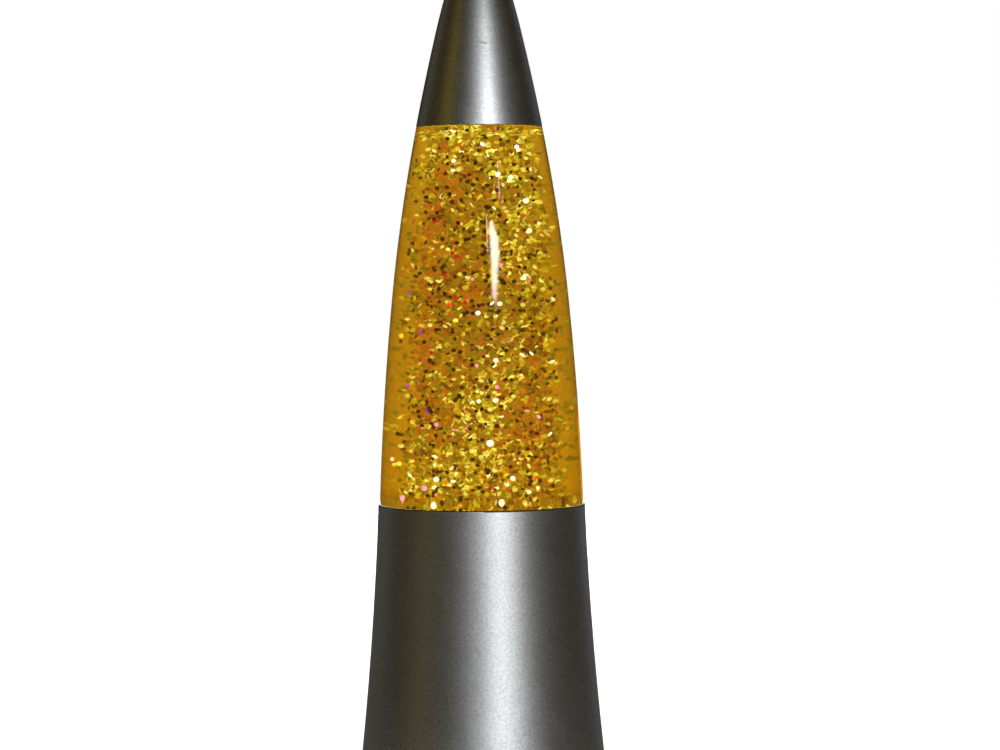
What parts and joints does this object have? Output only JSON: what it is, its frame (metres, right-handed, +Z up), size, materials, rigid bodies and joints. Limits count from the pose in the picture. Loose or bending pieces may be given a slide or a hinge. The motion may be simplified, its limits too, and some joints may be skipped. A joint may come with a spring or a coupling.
{
  "type": "glitter lamp",
  "caption": "Rocket-shaped glitter lamp: flared silver base with a reflector bulb, sealed bottle of amber liquid and gold glitter, and a pointed silver cap.",
  "frame": {"origin": "centre of the lamp's footprint, on the surface that it stands on", "axes": "+Z up along the lamp's axis, front towards -Y, cord inlet at the back towards +Y"},
  "size_m": [0.1164, 0.1164, 0.4096],
  "materials": {
    "satin_silver": "satin silver lacquer with a fine grain, over spun sheet",
    "pressed_steel": "zinc-plated pressed sheet",
    "fixing_steel": "zinc-plated fixings",
    "black_rubber": "matt black rubber",
    "clear_silicone": "milky silicone",
    "holder_plastic": "heat-resistant moulded plastic",
    "holder_ceramic": "unglazed lampholder core",
    "contact_brass": "bright brass",
    "block_plastic": "translucent moulded connector",
    "live_insulation": "brown insulation",
    "neutral_insulation": "blue insulation",
    "bulb_clear_glass": "thin blown glass with a reflector coat",
    "bulb_metal": "plain rolled cap",
    "black_glass": "black vitrite",
    "solder": "solder",
    "tungsten": "glowing filament",
    "bottle_glass": "clear moulded glass",
    "amber_liquid": "amber liquid",
    "gold_glitter": "metallic film flakes",
    "crown_metal": "lacquered tinplate",
    "liner_plastic": "soft sealing disc",
    "foam_ring": "soft foam"
  },
  "bodies": {
    "base": {"base_shell": "satin_silver", "bottle_cradle": "pressed_steel", "seat_gasket": "clear_silicone", "plate_clips": "pressed_steel", "base_plate": "pressed_steel", "plate_screws": "fixing_steel", "foot_pads": "black_rubber", "holder_bracket": "pressed_steel", "bracket_screws": "fixing_steel", "bracket_nuts": "fixing_steel", "holder_nipple": "fixing_steel", "nipple_nut": "fixing_steel", "nipple_washer": "fixing_steel", "holder_base_cap": "holder_plastic", "holder_core": "holder_ceramic", "holder_sleeve": "holder_plastic", "holder_thread": "contact_brass", "centre_contact": "contact_brass", "side_contact": "contact_brass", "contact_screws": "fixing_steel", "terminal_block": "block_plastic", "block_screw": "fixing_steel", "terminal_inserts": "contact_brass", "terminal_screws": "fixing_steel", "live_lead": "live_insulation", "neutral_lead": "neutral_insulation", "cord_grommet": "black_rubber"},
    "bulb_tip": {"bulb_contact": "solder", "bulb_insulator": "black_glass"},
    "bulb": {"bulb_screw_cap": "bulb_metal", "bulb_glass": "bulb_clear_glass", "bulb_stem": "bulb_clear_glass", "bulb_leads": "fixing_steel", "bulb_filament": "tungsten"},
    "bottle": {"bottle_glass": "bottle_glass", "bottle_liquid": "amber_liquid", "glitter_flakes": "gold_glitter", "crown_cap": "crown_metal", "crown_liner": "liner_plastic"},
    "cap": {"top_cap": "satin_silver", "cap_ring": "foam_ring"}
  },
  "joints": [
    {"name": "bottle_lift", "type": "slide", "parent": "base", "child": "bottle", "axis": [0, 0, 1], "range_m": [0, 0.045]},
    {"name": "cap_lift", "type": "slide", "parent": "bottle", "child": "cap", "axis": [0, 0, 1], "range_m": [0, 0.04]},
    {"name": "bulb_rise", "type": "slide", "parent": "base", "child": "bulb_tip", "axis": [0, 0, 1], "range_m": [0, 0.0099]},
    {"name": "bulb_turn", "type": "hinge", "parent": "bulb_tip", "child": "bulb", "pos_m": [0, 0, 0.0481], "axis": [0, 0, 1], "range_deg": [0, 1260]}
  ],
  "couplings": [
    {"joint": "bulb_rise", "follows": "bulb_turn", "m_per_rad": 0.00044882}
  ]
}
